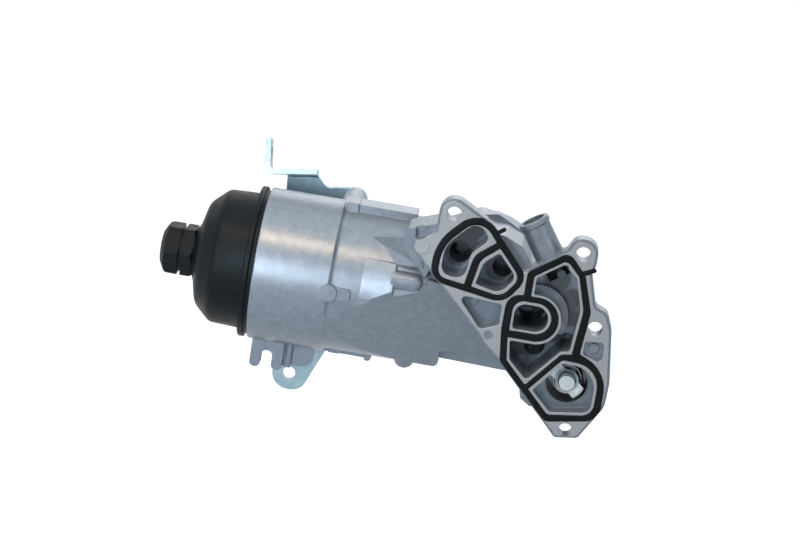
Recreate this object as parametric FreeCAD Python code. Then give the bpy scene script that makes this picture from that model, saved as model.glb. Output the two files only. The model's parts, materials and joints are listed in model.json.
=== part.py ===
import FreeCAD, Part
import math
import os

# Oil filter housing with its screw cap, filter element, face seals, thermostat, bracket and oil cooler.
# Millimetres. X runs along the filter from the cap to the flange, Y points away from the engine face,
# Z is up. The origin is the centre of the upper left bolt hole on the machined flange face.

# Filter axis and bowl
BARREL_R = 43.4
BARREL_SETBACK = 2.6
AXIS_Y = BARREL_R + BARREL_SETBACK
AXIS_Z = -57.8
RIM_X = -105.0
STEP_X = -62.5
STEP_H = 1.9
STEP_ROUND = 1.6
BARREL_END_X = 4.0
BARREL_THIN_R = BARREL_R - STEP_H
MOUTH_WALL = 5.1
THREAD_BORE_R = BARREL_R - MOUTH_WALL
THREAD_DEPTH = 18.0
THREAD_STEP = 0.7
BOWL_R = THREAD_BORE_R - THREAD_STEP
BOWL_TAPER = 5.0
BOWL_REAR_R = BOWL_R - BOWL_TAPER
BOWL_NARROW_X = -60.0
BOWL_NARROW_LEN = 6.0
BOWL_END_X = -24.0
BOWL_END_ROUND = 7.0
BOWL_MOUTH_CHAMFER = 0.9
LAND_H = 1.6
LAND_HALF_W = 8.0
LOW_LAND_H = 0.9
LOW_LAND_HALF_W = 3.0

# Lands, pads and lugs on the barrel
LOW_LAND_X1 = -36.0
PAD_FROM_STEP = 2.5
PAD_LEN = 6.0
PAD_PROUD = 0.8
ROUND_PAD_R = 4.8
SLOT_PAD_LEN = 10.6
FORK_T = 7.0
FORK_FROM_RIM = 2.0
FORK_PRONG_W = 6.0
FORK_SLOT_W = 6.6
FORK_REACH = 17.0
FORK_ROOT_REACH = 6.4
LUG_SINK = 13.4
LOBE_W = 17.7

# Oil gallery on the front of the barrel
GALLERY_X0 = -46.0
GALLERY_X1 = -26.4
GALLERY_RISE = 2.4
GALLERY_TOP_Z = -35.6
GALLERY_Z = -44.6
GALLERY_R = 5.6
GALLERY_Y = 9.2
GALLERY_TIP_X = -15.8

# Flange
FLANGE_T = 10.5
RIM_DROP = 1.2
LAND_INSET = 1.3
BOLT_R = 4.1
LOW_BOLT_R = 3.8
HOLE_A = (0.0, 0.0)
HOLE_B = (73.1, -10.1)
HOLE_C = (86.7, -50.5)
HOLE_D = (80.4, -110.6)
EAR_R = 8.3
BLOCK_BEHIND = 14.0
BLOCK_BACK_Y = AXIS_Y + BLOCK_BEHIND
COOLER_FLANGE_T = 8.0

# Face seals
CORNER_POCKET_DEPTH = 9.0
FACE_MARK = (29.5, -64.5)
FACE_MARK_R = 2.6
FACE_MARK_DEPTH = 0.4
GROOVE_DEPTH = 2.2
SEAL_PROUD = 0.5
SEAL_CLEAR = 0.3
TAB_R = 1.1
TAB_DEEP = 1.5
TAB_ONE = [(23.9, -7.4), (28.4, -4.0)]
TAB_TWO = [(73.6, -21.6), (80.8, -18.2)]

# Chambers in the flange face
CHAMBER_DEPTH = 19.0
SHALLOW_DEPTH = 14.0
DEEP_DEPTH = 27.0
SHELF_DEPTH = 9.0
SHELF_W = 4.0
POCKET_DEPTH = 9.0
D_PORT_DEPTH = 30.0
PORT_ONE = (6.3, -25.0)
PORT_ONE_R = 6.0
PORT_TWO = (31.0, -29.3)
PORT_TWO_R = 5.7
PORT_BACK_Y = 44.0
D_CENTRE = (54.0, -51.2)
D_WALL_R = 13.8

# Thermostat
THERMO_X = 77.0
THERMO_Z = -86.0
THERMO_BORE_R = 11.6
THERMO_BORE_DEPTH = 34.0
THERMO_FLOOR_Y = 9.0
CAPSULE_R = 4.7
THERMO_LIFT = 5.0
CAPSULE_END_Y = THERMO_LIFT + 2.0
THERMO_PLATE_Y = 30.0
THERMO_PLATE_T = 1.6
THERMO_DISC_R = 8.0
FRAME_SHEET = 1.0
SPRING_WIRE = 1.3
SPRING_TOP_R = 8.2
SPRING_TURNS = 4
SPRING_STEPS = 16
SPRING_SIDES = 6
RUN_FIT = 0.3

# Screw cap
CAP_NECK_LEN = 2.6
CAP_COLLAR_T = 3.0
CAP_COLLAR_DROP = 0.2
CAP_NECK_DROP = 2.1
CAP_DOME_DROP = 5.2
CAP_COLLAR_X1 = RIM_X - CAP_NECK_LEN
CAP_COLLAR_X0 = CAP_COLLAR_X1 - CAP_COLLAR_T
CAP_COLLAR_R = BARREL_R - CAP_COLLAR_DROP
CAP_NECK_R = BARREL_R - CAP_NECK_DROP
CAP_DOME_R = BARREL_R - CAP_DOME_DROP
CAP_DOME_LEN = 25.0
CAP_SHOULDER_LEN = 13.0
HEX_LEN = 19.0
CAP_DOME_X = RIM_X - CAP_DOME_LEN
CAP_HEX_X = CAP_DOME_X - CAP_SHOULDER_LEN
CAP_END_X = CAP_HEX_X - HEX_LEN
HEX_FLATS = 27.0
HEX_NECK_R = 13.2
CAP_WALL = 3.2
CAP_THREAD_CLEAR = 0.4
CAP_SPIGOT_LEN = 16.5
CAP_SPIGOT_X = RIM_X + CAP_SPIGOT_LEN
CAP_SEAT_GAP = 0.1
O_RING_WIRE_R = 1.7
O_RING_IN = 3.2
O_RING_X = RIM_X + O_RING_IN
O_RING_GROOVE_HALF = 2.1
HEX_GROOVE_W = 1.8
CLAW_R = 13.6
CLAW_WALL = 1.8
CLAW_COUNT = 6

# Filter element
ELEMENT_GAP = 1.6
ELEMENT_OUT = 17.0
ELEMENT_END_GAP = 8.0
ELEMENT_R = BOWL_REAR_R - ELEMENT_GAP
ELEMENT_X0 = RIM_X - ELEMENT_OUT
ELEMENT_X1 = BOWL_END_X - ELEMENT_END_GAP
MEDIA_INSET = 0.6
END_DISC_T = 3.0
CAP_DISC_HOLE_R = 9.5
PLEATS = 30
PAPER_T = 1.0
CORE_WALL = 1.2
CORE_CLEAR = 0.3
CORE_FLOW_GAP = 4.1
PLEAT_INNER_GAP = 2.0
CORE_SLOT_W = 8.0
CORE_SLOT_LEN = 10.0
CORE_SLOT_ROWS = 5
COLLAR_WALL = 2.6
COLLAR_LEN = 4.0

# Stand pipe and bypass valve
PIPE_R = 12.6
PIPE_WALL = 1.8
PIPE_SET_IN = 1.0
PIPE_END_X = RIM_X + PIPE_SET_IN
PIPE_SEAT_DEPTH = 26.0
PIPE_SEAT_X = BOWL_END_X + PIPE_SEAT_DEPTH
PIPE_SLOT_START = 30.0
PIPE_SLOT_STOP = 14.0
CORE_OUTER_R = PIPE_R + CORE_FLOW_GAP + CORE_WALL
PIPE_SLOT_W = 4.0
PIPE_SLOTS = 4
BYPASS_DISC_R = 7.4
BYPASS_DISC_T = 2.0
BYPASS_SEAT_T = 2.5
BYPASS_LIFT = 4.0
BYPASS_SPRING_R = 5.4
BYPASS_SPRING_LEN = 15.0
BYPASS_WIRE = 1.0
BYPASS_TURNS = 5

# Hose nozzle
NOZZLE_MOUTH = (43.0, 13.0, 1.3)
NOZZLE_ANGLE = 34.0
NOZZLE_R = 8.0
NOZZLE_FOOT_R = 8.8
NOZZLE_BORE_R = 6.4
NOZZLE_BEAD_R = 8.75
NOZZLE_BEAD_LEN = 3.4
NOZZLE_BEAD_ROUND = 0.8
NOZZLE_GRIP_LEN = 12.0
NOZZLE_LEN = 31.0

# Steel bracket
SHEET = 3.0
BRACKET_GAP = 0.6
BRACKET_Y = AXIS_Y + BARREL_R + BRACKET_GAP
BRACKET_HOLE = (-82.9, -133.4)
BRACKET_HOLE_R = 3.75
BRACKET_LOBE_R = 10.0
BRACKET_SCREWS = [(-60.0, -22.5), (-70.0, -92.0)]
BRACKET_SCREW_R = 2.6
BRACKET_BOSS_R = 7.0
SCREW_DEPTH = 11.0
SCREW_CLEAR = 0.7
WASHER_R = 6.0
WASHER_T = 1.2
SCREW_HEX_FLATS = 10.0
SCREW_HEAD_H = 4.5
TAB_DEPTH = 14.0
TAB_HOLE_R = 3.3
BEND_R = 2.0
EAR_LEAN = 8.0
EAR_LEN = 20.8
STRIP_RISE = 9.0
STRIP_END = (-83.5, -6.4)
STRIP_LEN = 27.4
STRIP_TILT = 14.0
STRIP_DIP = TAB_DEPTH * math.sin(math.radians(STRIP_TILT))
EAR_HOLE_UP = 13.0
NECK_W = 17.6

# Oil cooler behind the flange
OIL_PORT = (38.0, -62.0)
COOLANT_PORT = (56.0, -73.0)
COOLER_PORT_R = 5.5
COOLER_SIDE = 15.0
COOLER_EDGE = 1.5
COOLER_CORE_ROUND = 8.0
COOLER_LIP = 1.0
COOLER_LIP_SHARE = 0.45
COOLER_SCREW_IN = 8.0
COOLER_SCREW_UP = 7.0
COOLER_HEAD_R = 5.4
COOLER_HEAD_H = 4.0
COOLER_SCREW_DEPTH = 6.0
SOCKET_R = 1.9
SOCKET_DEPTH = 2.5
HOLE_CLEAR = 0.4
COOLER_X0 = 9.0
COOLER_X1 = 79.0
COOLER_Z0 = -93.0
COOLER_Z1 = -44.0
COOLER_PLATES = 7
COOLER_PLATE_PITCH = 4.0
COOLER_BASE_T = 3.0
COOLER_ROUND = 12.0
COOLER_SCREW_R = 3.0

# Facet under the flange: a point on it and its outward normal
FACET_POINT = (-37.0, 4.5, -58.0)
FACET_NORMAL = (0.205, -0.868, -0.451)
CUTTER_SIDE = 400
CUTTER_DEEP = 100

# Gusset from the barrel to the flange: its front corners and the way its back lies from them
GUSSET_TIP = (-45.5, 21.0, -25.8)
GUSSET_HIGH = (-17.0, 5.0, -18.0)
GUSSET_LOW = (-26.5, 9.8, -36.5)
GUSSET_MID = (-12.0, 4.5, -34.0)
GUSSET_BACK = (3, 26, -8)

# Small forms of the barrel
TOP_LAND_X1 = -21.0
PAD_WIDER = 1.5
PAD_LOWER = 3.0
LOW_PAD_WIDER = 1.2
LOW_PAD_PROUD = 0.1
LAND_END_R = 2.2
ROUND_PAD_FROM_STEP = 0.9
ROUND_PAD_PROUD = 1.3
SLOT_PAD_FROM_STEP = 2.5
SLOT_PAD_PROUD = 0.4
PAD_ROOT_Y = 12.0
DOME_R = 6.0
DOME_AT = (-15.5, 40.0, -97.0)
DOME_ROOT_Z = -70
DOME_WEB = [(-34, -96, 0), (-15.5, -102.4, 0), (-4, -92, 0), (-4, -80, 0), (-34, -80, 0)]
DOME_WEB_Y = (43, 46)

# Fork under the bowl mouth
PRONG_END_R = 2.6
SLOT_ROOT_R = 3.2
RIB_R = 1.8
RIB_FROM_FORK = 3.2
RIB_TOP = 2.7
RIB_SETBACK = 2.5
LOBE_TOP = 3.9
LOBE_ROUND = 7.5
LOBE_Y0 = -1.0
LOBE_Y1 = 4.5

# Corner pads of the flange, seen beside the seals
CORNER_DOWEL = (-14.5, -21.2)
CORNER_DOWEL_R = 4.2
CORNER_DOWEL_Y = (-0.3, 8)
CORNER_LINK = [(-24, -14, 2), (-8, -8, 1), (-2, -14, 1), (-10, -40, 1), (-26, -24, 3)]
CORNER_LINK_Y = (5.5, 30)
FOOT_LINK = [(51.0, -92.0, 1), (53.0, -98.5, 1.5), (58.5, -102.0, 1.5), (66, -102, 1)]
FOOT_LINK_Y = (5.0, 12.0)

# Ejector and dowel marks: middle (x, z), radius and height over the pocket's floor
MARK_HEIGHT = 0.7
POCKET_MARK = ((18.5, -48.9), 2.3)
SIDE_MARK = ((88.0, -62.0), 2.8)
SIDE_MARK_Y = (1.4, 4.0)
CHAMBER_MARK = ((63.8, -26.6), 2.6)

# Dome of the cap and its hexagon
DOME_SHOULDER_OUT = 1.5
DOME_SHOULDER_ROUND = 6.0
DOME_SLOPE_LEN = 8.0
DOME_SLOPE_IN = 8.7
DOME_SLOPE_ROUND = 9.0
NECK_FLARE = 4.5
NECK_FLARE_ROUND = 8.0
COLLAR_STEP = 0.8
HEX_FACE_R = 9.0
HEX_CROWN_LEN = 3.5
HEX_CROWN_ROUND = 4.0
HEX_SHOULDER_IN = 1.6
CLAW_GAP_HALF = 1.2

# Thermostat disc and capsule steps
CAPSULE_LEN_BEHIND = 6
DISC_RIM = 2.6
DISC_T = 1.6
SPRING_SEAT_WIDER = 0.7


def vec(x, y, z):
    return FreeCAD.Vector(x, y, z)


def unit(a, b):
    length = math.hypot(b[0] - a[0], b[1] - a[1])
    return ((b[0] - a[0]) / length, (b[1] - a[1]) / length)


def rounded_wire(corners, y=0.0):
    """Closed wire in the plane Y = y through corners (x, z, radius), each turned by its own radius."""
    count = len(corners)
    spans = []
    for i in range(count):
        x, z, radius = corners[i]
        before = corners[i - 1]
        after = corners[(i + 1) % count]
        to_before = unit((x, z), before)
        to_after = unit((x, z), after)
        dot = to_before[0] * to_after[0] + to_before[1] * to_after[1]
        half = math.acos(max(-1.0, min(1.0, dot))) / 2
        if radius <= 0 or half > math.radians(89.0):
            spans.append([vec(x, y, z)])
            continue
        reach = radius / math.tan(half)
        start = vec(x + to_before[0] * reach, y, z + to_before[1] * reach)
        end = vec(x + to_after[0] * reach, y, z + to_after[1] * reach)
        middle_dir = (to_before[0] + to_after[0], to_before[1] + to_after[1])
        size = math.hypot(middle_dir[0], middle_dir[1])
        depth = radius / math.sin(half) - radius
        middle = vec(x + middle_dir[0] / size * depth, y, z + middle_dir[1] / size * depth)
        spans.append([start, middle, end])
    edges = []
    for i in range(count):
        if len(spans[i]) == 3:
            edges.append(Part.Arc(*spans[i]).toShape())
        here = spans[i][-1]
        there = spans[(i + 1) % count][0]
        if here.distanceToPoint(there) > 0.001:
            edges.append(Part.LineSegment(here, there).toShape())
    return Part.Wire(edges)


def slab(corners, y0, y1, grow=0.0):
    """Prism between the planes Y = y0 and Y = y1, its outline grown outward by grow."""
    wire = rounded_wire(corners, y0)
    if grow:
        wire = wire.makeOffset2D(grow)
    return Part.Face(wire).extrude(vec(0, y1 - y0, 0))


def rod(start, end, radius, end_radius=None):
    """Cylinder, or cone when end_radius is given, between two points."""
    direction = end - start
    if end_radius is None:
        return Part.makeCylinder(radius, direction.Length, start, direction)
    return Part.makeCone(radius, end_radius, direction.Length, start, direction)


def rod_y(centre, radius, y0, y1):
    return rod(vec(centre[0], y0, centre[1]), vec(centre[0], y1, centre[1]), radius)


def rod_x(x0, x1, radius, y=AXIS_Y, z=AXIS_Z):
    return rod(vec(x0, y, z), vec(x1, y, z), radius)


def box(x0, x1, y0, y1, z0, z1):
    return Part.makeBox(x1 - x0, y1 - y0, z1 - z0, vec(x0, y0, z0))


def turned(corners):
    """Solid turned about the filter axis from a closed profile of (x, radius from the axis, round)."""
    face = Part.Face(rounded_wire(corners))
    solid = face.revolve(vec(0, 0, 0), vec(1, 0, 0), 360)
    solid.translate(vec(0, AXIS_Y, AXIS_Z))
    return solid


def turned_y(corners, centre):
    """Solid turned about a line along Y through centre, from a profile of (radius, y, round)."""
    flat = rounded_wire([(r, y, rounding) for r, y, rounding in corners])
    face = Part.Face(flat)
    solid = face.revolve(vec(0, 0, 0), vec(0, 0, 1), 360)
    solid.rotate(vec(0, 0, 0), vec(1, 0, 0), -90)
    solid.translate(vec(centre[0], 0, centre[1]))
    return solid


def join(first, others):
    return first.fuse(others).removeSplitter()


# Outlines on the flange face, seen from the engine: corners of (x, z, radius)
FLANGE = [
    (-8.3, 14.0, EAR_R), (18.0, -0.3, 8.0), (42.3, -25.4, 3.0), (64.2, -9.3, 3.0), (68.0, -2.0, 6.0),
    (81.2, -2.0, 8.0), (81.2, -15.5, 5.0), (79.8, -20.5, 3.0), (84.8, -38.2, 4.0), (92.0, -41.0, 6.0),
    (95.8, -50.0, 12.0), (100.0, -80.0, 20.0), (99.6, -94.0, 14.0), (88.0, -114.3, 3.0),
    (75.2, -116.2, 2.0), (38.0, -78.5, 6.0), (27.3, -69.5, 3.0), (24.0, -65.2, 3.0),
    (-22.4, -20.6, 6.0), (-14.2, -12.6, 7.0), (-8.3, -12.6, 3.0),
]
SEAL_ONE = [
    (14.9, 6.1, 13.0), (-7.3, -17.0, 28.0), (-7.3, -38.6, 9.0), (34.5, -44.8, 11.0), (45.4, -29.0, 9.0),
]
LIP_ONE = [
    (14.9, 1.2, 9.7), (26.0, -12.0, 0.8), (14.9, -21.2, 10.0), (11.9, -38.5, 0.8), (-3.9, -36.4, 5.7),
    (-3.9, -19.0, 24.0),
]
LIP_TWO = [
    (28.1, -14.4, 1.2), (18.2, -22.8, 9.0), (15.3, -38.9, 0.8), (33.2, -42.0, 8.5), (41.8, -29.6, 6.3),
]
CHAMBER_ONE = [
    (14.3, -0.6, 6.4), (21.6, -11.2, 4.2), (12.4, -20.4, 9.0), (11.4, -35.6, 6.0), (-2.2, -34.4, 5.6),
    (-2.2, -18.4, 16.0),
]
CHAMBER_TWO = [
    (28.1, -17.3, 1.8), (20.2, -24.4, 7.0), (17.6, -36.9, 1.2), (31.8, -39.6, 6.8), (39.2, -29.4, 4.6),
]
SEAL_TWO = [
    (36.4, -39.4, 8.0), (45.3, -38.8, 1.0), (45.3, -25.2, 3.5), (65.6, -10.6, 5.0), (76.2, -22.2, 6.0),
    (82.6, -42.0, 12.0), (80.6, -66.4, 1.5), (97.4, -73.4, 20.0), (97.4, -102.2, 8.5),
    (68.2, -107.6, 5.0), (38.4, -77.8, 6.0), (36.3, -60.0, 15.0),
]
LIP_FIVE = [
    (48.7, -38.7, 0.8), (48.7, -26.9, 2.2), (65.3, -14.8, 3.5), (73.4, -22.8, 6.0), (79.1, -41.8, 12.0),
    (76.9, -67.5, 0.8), (71.0, -68.5, 3.0), (54.1, -89.4, 1.2), (41.5, -76.8, 3.0), (39.8, -63.3, 0.8),
    (66.0, -63.3, 12.0), (66.0, -38.9, 12.0),
]
LIP_D = [
    (40.0, -41.6, 6.5), (62.5, -41.4, 9.0), (62.5, -59.6, 9.0), (40.1, -59.8, 0.8),
]
LIP_SIX = [
    (55.9, -91.0, 0.8), (72.0, -70.9, 3.0), (94.0, -71.6, 14.0), (94.0, -100.2, 7.5), (69.0, -104.0, 3.5),
]
CHAMBER_FIVE = [
    (50.4, -37.2, 0.8), (50.4, -27.6, 2.0), (65.2, -16.9, 3.0), (71.8, -23.3, 5.0), (77.0, -41.5, 12.0),
    (75.1, -65.6, 1.5), (70.2, -66.7, 2.5), (54.2, -86.0, 2.0), (43.2, -76.0, 3.0), (41.6, -65.1, 1.2),
    (67.8, -65.1, 13.8), (67.8, -37.2, 13.8),
]
D_PORT = [
    (41.6, -43.5, 6.0), (60.4, -43.4, 7.0), (60.4, -58.0, 7.0), (41.6, -58.2, 2.0),
]
CHAMBER_SIX = [
    (58.6, -91.2, 1.5), (72.8, -73.1, 3.0), (92.0, -73.1, 13.0), (92.0, -98.5, 5.0), (70.0, -101.9, 4.0),
]
POCKET_THREE = [
    (8.6, -44.2, 2.4), (34.2, -45.8, 1.5), (34.2, -57.6, 2.0), (26.0, -61.0, 2.0), (23.4, -61.0, 1.5),
]
CORNER_POCKET = [
    (-19.6, -8.4, 1.5), (-14.8, -11.2, 2.0), (-9.6, -12.2, 1.5), (-14.6, -17.0, 1.5), (-19.0, -18.0, 1.5),
]
POCKET_C = [
    (82.6, -58.4, 1.5), (93.0, -57.4, 2.0), (93.6, -66.4, 2.0), (91.4, -68.6, 1.0), (82.6, -66.0, 1.5),
]
BLOCK = [
    (-8.0, -18.0, 4.0), (14.0, -7.0, 6.0), (30.0, -9.5, 5.0), (40.0, -14.0, 4.0), (47.0, -24.0, 6.0),
    (66.0, -22.0, 6.0), (75.0, -30.0, 6.0), (79.5, -52.0, 6.0), (79.5, -66.0, 6.0), (90.0, -76.5, 8.0),
    (93.0, -88.0, 8.0), (90.0, -99.0, 8.0),
    (70.0, -104.0, 6.0), (27.0, -65.0, 4.0), (-8.0, -32.0, 4.0),
]


def flange_blank():
    cast = slab(FLANGE, RIM_DROP, FLANGE_T)
    land = slab(FLANGE, 0, RIM_DROP + 0.5, -LAND_INSET)
    return [cast, land]


def barrel_blank():
    """Bowl outside: thick mouth end, rounded step and thinner rear end."""
    return turned([
        (RIM_X, 0, 0), (RIM_X, BARREL_R, 0.6), (STEP_X, BARREL_R, 0.5),
        (STEP_X + STEP_ROUND, BARREL_THIN_R, STEP_ROUND), (BARREL_END_X, BARREL_THIN_R, 3.0),
        (BARREL_END_X, 0, 0),
    ])


def facet_cutter():
    """The flat that trims the barrel and the web under the flange: everything in front of it goes."""
    corner = vec(-CUTTER_SIDE / 2, -CUTTER_SIDE / 2, 0)
    cutter = Part.makeBox(CUTTER_SIDE, CUTTER_SIDE, CUTTER_DEEP, corner)
    turn = FreeCAD.Rotation(vec(0, 0, 1), vec(*FACET_NORMAL))
    cutter.Placement = FreeCAD.Placement(vec(*FACET_POINT), turn)
    return cutter


def bowl_and_block():
    block = slab(BLOCK, FLANGE_T - 2, BLOCK_BACK_Y)
    web = slab([(-20, -60, 0), (-24, -90.0, 0), (0, -87.2, 0), (45, -82.5, 0), (45, -50, 0), (-8, -40, 0)],
               0, AXIS_Y)
    body = barrel_blank().fuse([web, raised_gallery()]).cut(facet_cutter())
    return body.fuse(block)


def raised_gallery():
    """Raised patch of the barrel over the oil gallery; it grows out of the wall toward its end step."""
    patch = turned([
        (GALLERY_X0, 0, 0), (GALLERY_X0, BARREL_THIN_R - 0.2, 0),
        (GALLERY_X1, BARREL_THIN_R + GALLERY_RISE, 0.8), (GALLERY_X1, 0, 0),
    ])
    top = GALLERY_TOP_Z
    window = slab([(GALLERY_X0, top, 0), (GALLERY_X1, top, 1.8), (GALLERY_X1, AXIS_Z, 0),
                   (GALLERY_X0, AXIS_Z, 0)], 0, AXIS_Y)
    return patch.common(window)


def small_gallery():
    """Round-ended run of the gallery beside the raised patch."""
    centre_z = GALLERY_Z
    run = rod_x(GALLERY_X1 - 2, GALLERY_TIP_X, GALLERY_R, GALLERY_Y, centre_z)
    return [run, Part.makeSphere(GALLERY_R, vec(GALLERY_TIP_X, GALLERY_Y, centre_z))]


def flange_gusset():
    """Flat-faced wedge that runs from the barrel up to the left corner of the flange."""
    front = [vec(*corner) for corner in (GUSSET_TIP, GUSSET_HIGH, GUSSET_MID, GUSSET_LOW)]
    back = [corner + vec(*GUSSET_BACK) for corner in front]
    faces = []
    for ring in ((front[0], front[1], front[2]), (front[0], front[2], front[3]),
                 (back[0], back[1], back[2]), (back[0], back[2], back[3])):
        faces.append(Part.Face(Part.makePolygon(list(ring) + [ring[0]])))
    for i in range(4):
        j = (i + 1) % 4
        faces.append(Part.Face(Part.makePolygon([front[i], front[j], back[j], front[i]])))
        faces.append(Part.Face(Part.makePolygon([front[i], back[j], back[i], front[i]])))
    return Part.Solid(Part.Shell(faces))


def land_box(x0, x1, front, back, z0, z1):
    return box(x0, x1, AXIS_Y - front, AXIS_Y + back, z0, z1)


def barrel_details():
    """Parting lands, pads, bosses and screw domes that stand on the bowl."""
    pieces = []
    top_z = AXIS_Z + BARREL_R
    low_z = AXIS_Z - BARREL_R
    pieces.append(land_box(STEP_X, TOP_LAND_X1, LAND_HALF_W, LAND_HALF_W, AXIS_Z, top_z + LAND_H))
    pieces.append(land_box(STEP_X - 2, LOW_LAND_X1, LOW_LAND_HALF_W, LOW_LAND_HALF_W,
                           low_z - LOW_LAND_H, AXIS_Z))
    pad_x1 = STEP_X + PAD_FROM_STEP + PAD_LEN
    pieces.append(land_box(pad_x1 - PAD_LEN, pad_x1, LAND_HALF_W + PAD_WIDER, LAND_HALF_W - PAD_LOWER, AXIS_Z,
                           top_z + LAND_H + PAD_PROUD))
    pieces.append(land_box(pad_x1 - PAD_LEN + 1, pad_x1 + 1, LOW_LAND_HALF_W + LOW_PAD_WIDER, LOW_LAND_HALF_W,
                           low_z - LOW_LAND_H - LOW_PAD_PROUD, AXIS_Z))
    pieces.append(rod_y((LOW_LAND_X1 - 0.5, low_z - 0.4), LAND_END_R,
                        AXIS_Y - LOW_LAND_HALF_W, AXIS_Y + LOW_LAND_HALF_W))
    # round pad and its slot pad on the step
    pad_z = AXIS_Z + 1.0
    pieces.append(rod_y((STEP_X + ROUND_PAD_FROM_STEP, pad_z), ROUND_PAD_R,
                        BARREL_SETBACK - ROUND_PAD_PROUD, PAD_ROOT_Y))
    slot_x = STEP_X + SLOT_PAD_FROM_STEP
    pieces.append(slab([(slot_x, pad_z + 3.3, 0), (slot_x + SLOT_PAD_LEN, pad_z + 3.3, 2.0),
                        (slot_x + SLOT_PAD_LEN, pad_z - 3.2, 1.0), (slot_x, pad_z - 4.0, 0)],
                       BARREL_SETBACK + SLOT_PAD_PROUD, PAD_ROOT_Y))
    # dome under the bowl with its web
    dome = vec(*DOME_AT)
    pieces.append(rod(dome, vec(dome.x, dome.y, DOME_ROOT_Z), DOME_R))
    pieces.append(Part.makeSphere(DOME_R, dome))
    pieces.append(slab(DOME_WEB, *DOME_WEB_Y))
    return pieces


def fork_lugs():
    """Cast lugs under the bowl mouth: a fork, a half round rib and a round-cornered lobe."""
    y0 = AXIS_Y - FORK_T / 2
    y1 = AXIS_Y + FORK_T / 2
    top = AXIS_Z - BARREL_R + LUG_SINK
    tip = AXIS_Z - BARREL_R - FORK_REACH
    root = AXIS_Z - BARREL_R - FORK_ROOT_REACH
    left = RIM_X + FORK_FROM_RIM
    slot = left + FORK_PRONG_W
    right = slot + FORK_SLOT_W
    edge = right + FORK_PRONG_W + 0.2
    end = PRONG_END_R
    fork = slab([(left, top, 0), (left, tip, end), (slot, tip, end), (slot, root, SLOT_ROOT_R),
                 (right, root, SLOT_ROOT_R), (right, tip, end), (edge, tip, end), (edge, top, 0)], y0, y1)
    rib_x = edge + RIB_FROM_FORK
    rib_y = AXIS_Y - RIB_SETBACK
    rib = rod(vec(rib_x, rib_y, tip + RIB_TOP), vec(rib_x, rib_y, top), RIB_R)
    lobe_low = tip + LOBE_TOP
    lobe = slab([(edge - 0.3, top, 0), (edge - 0.3, lobe_low - 1.9, 1), (edge + 5.2, lobe_low - 0.2, 1),
                 (edge + LOBE_W - 0.3, lobe_low, LOBE_ROUND), (edge + LOBE_W - 0.3, top, 0)],
                AXIS_Y + LOBE_Y0, AXIS_Y + LOBE_Y1)
    return [fork, rib, lobe]


def bracket_bosses():
    bosses = []
    for centre in BRACKET_SCREWS:
        bosses.append(rod_y(centre, BRACKET_BOSS_R, AXIS_Y + 8, BRACKET_Y))
    return bosses


def nozzle_axis():
    turn = math.radians(NOZZLE_ANGLE)
    return vec(-math.sin(turn), 0, math.cos(turn))


def nozzle_outside():
    axis = nozzle_axis()
    mouth = vec(*NOZZLE_MOUTH)
    foot = mouth - axis * NOZZLE_LEN
    tube = rod(foot, mouth - axis * 0.4, NOZZLE_R)
    bead = rod(mouth - axis * NOZZLE_BEAD_LEN, mouth, NOZZLE_BEAD_R)
    bead = bead.makeFillet(NOZZLE_BEAD_ROUND, [e for e in bead.Edges if e.Curve.TypeId == "Part::GeomCircle"])
    skirt = rod(foot, mouth - axis * (NOZZLE_BEAD_LEN + NOZZLE_GRIP_LEN), NOZZLE_FOOT_R, NOZZLE_R)
    socket = rod(foot - axis * 2, foot + axis * 5.5, NOZZLE_FOOT_R + 2.0, NOZZLE_FOOT_R)
    return [tube, bead, skirt, socket]


def cooler_flange():
    """Web at the back of the block and the pad behind it that the cooler is screwed to."""
    outline = [(-8.0, -60.0, 4), (-8.0, -86, 6), (-2.0, -93.4, 4), (46.0, -94.5, 6), (60.0, -104.0, 6),
               (88.0, -104.0, 10), (90.0, -84.0, 8), (79.5, -68.0, 6), (79.5, -48.0, 6), (60.0, -38.0, 8),
               (42.0, -14.5, 5), (24.0, -5.0, 5), (10.0, -8.0, 6)]
    web_y1 = AXIS_Y + 2
    return [slab(outline, web_y1 - COOLER_FLANGE_T, web_y1), slab(cooler_outline(), web_y1 - 1, BLOCK_BACK_Y)]


def casting_outside():
    body = bowl_and_block()
    more = flange_blank() + small_gallery() + [flange_gusset()] + barrel_details() + fork_lugs()
    more += bracket_bosses() + nozzle_outside() + cooler_flange()
    more.append(rod_y(CORNER_DOWEL, CORNER_DOWEL_R, *CORNER_DOWEL_Y))
    more.append(slab(CORNER_LINK, *CORNER_LINK_Y))
    more.append(slab(FOOT_LINK, *FOOT_LINK_Y))
    return join(body, more)


def tab(ends, y0, y1, grow=0.0):
    """Small pull tab of a seal: a bar with round ends along the face."""
    (x0, z0), (x1, z1) = ends
    r = TAB_R + grow
    length = math.hypot(x1 - x0, z1 - z0)
    corner_r = r * 0.99
    bar = slab([(-r, -r, corner_r), (-r, r, corner_r), (length + r, r, corner_r), (length + r, -r, corner_r)],
               y0, y1)
    bar.rotate(vec(0, 0, 0), vec(0, 1, 0), -math.degrees(math.atan2(z1 - z0, x1 - x0)))
    bar.translate(vec(x0, 0, z0))
    return bar


def seal_groove(outer, lips):
    """Channel for a face seal: the band between the outer outline and the lips it runs round."""
    channel = slab(outer, -1.0, GROOVE_DEPTH, SEAL_CLEAR)
    for lip in lips:
        channel = channel.cut(slab(lip, -2.0, GROOVE_DEPTH + 1, -SEAL_CLEAR))
    return channel


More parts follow.
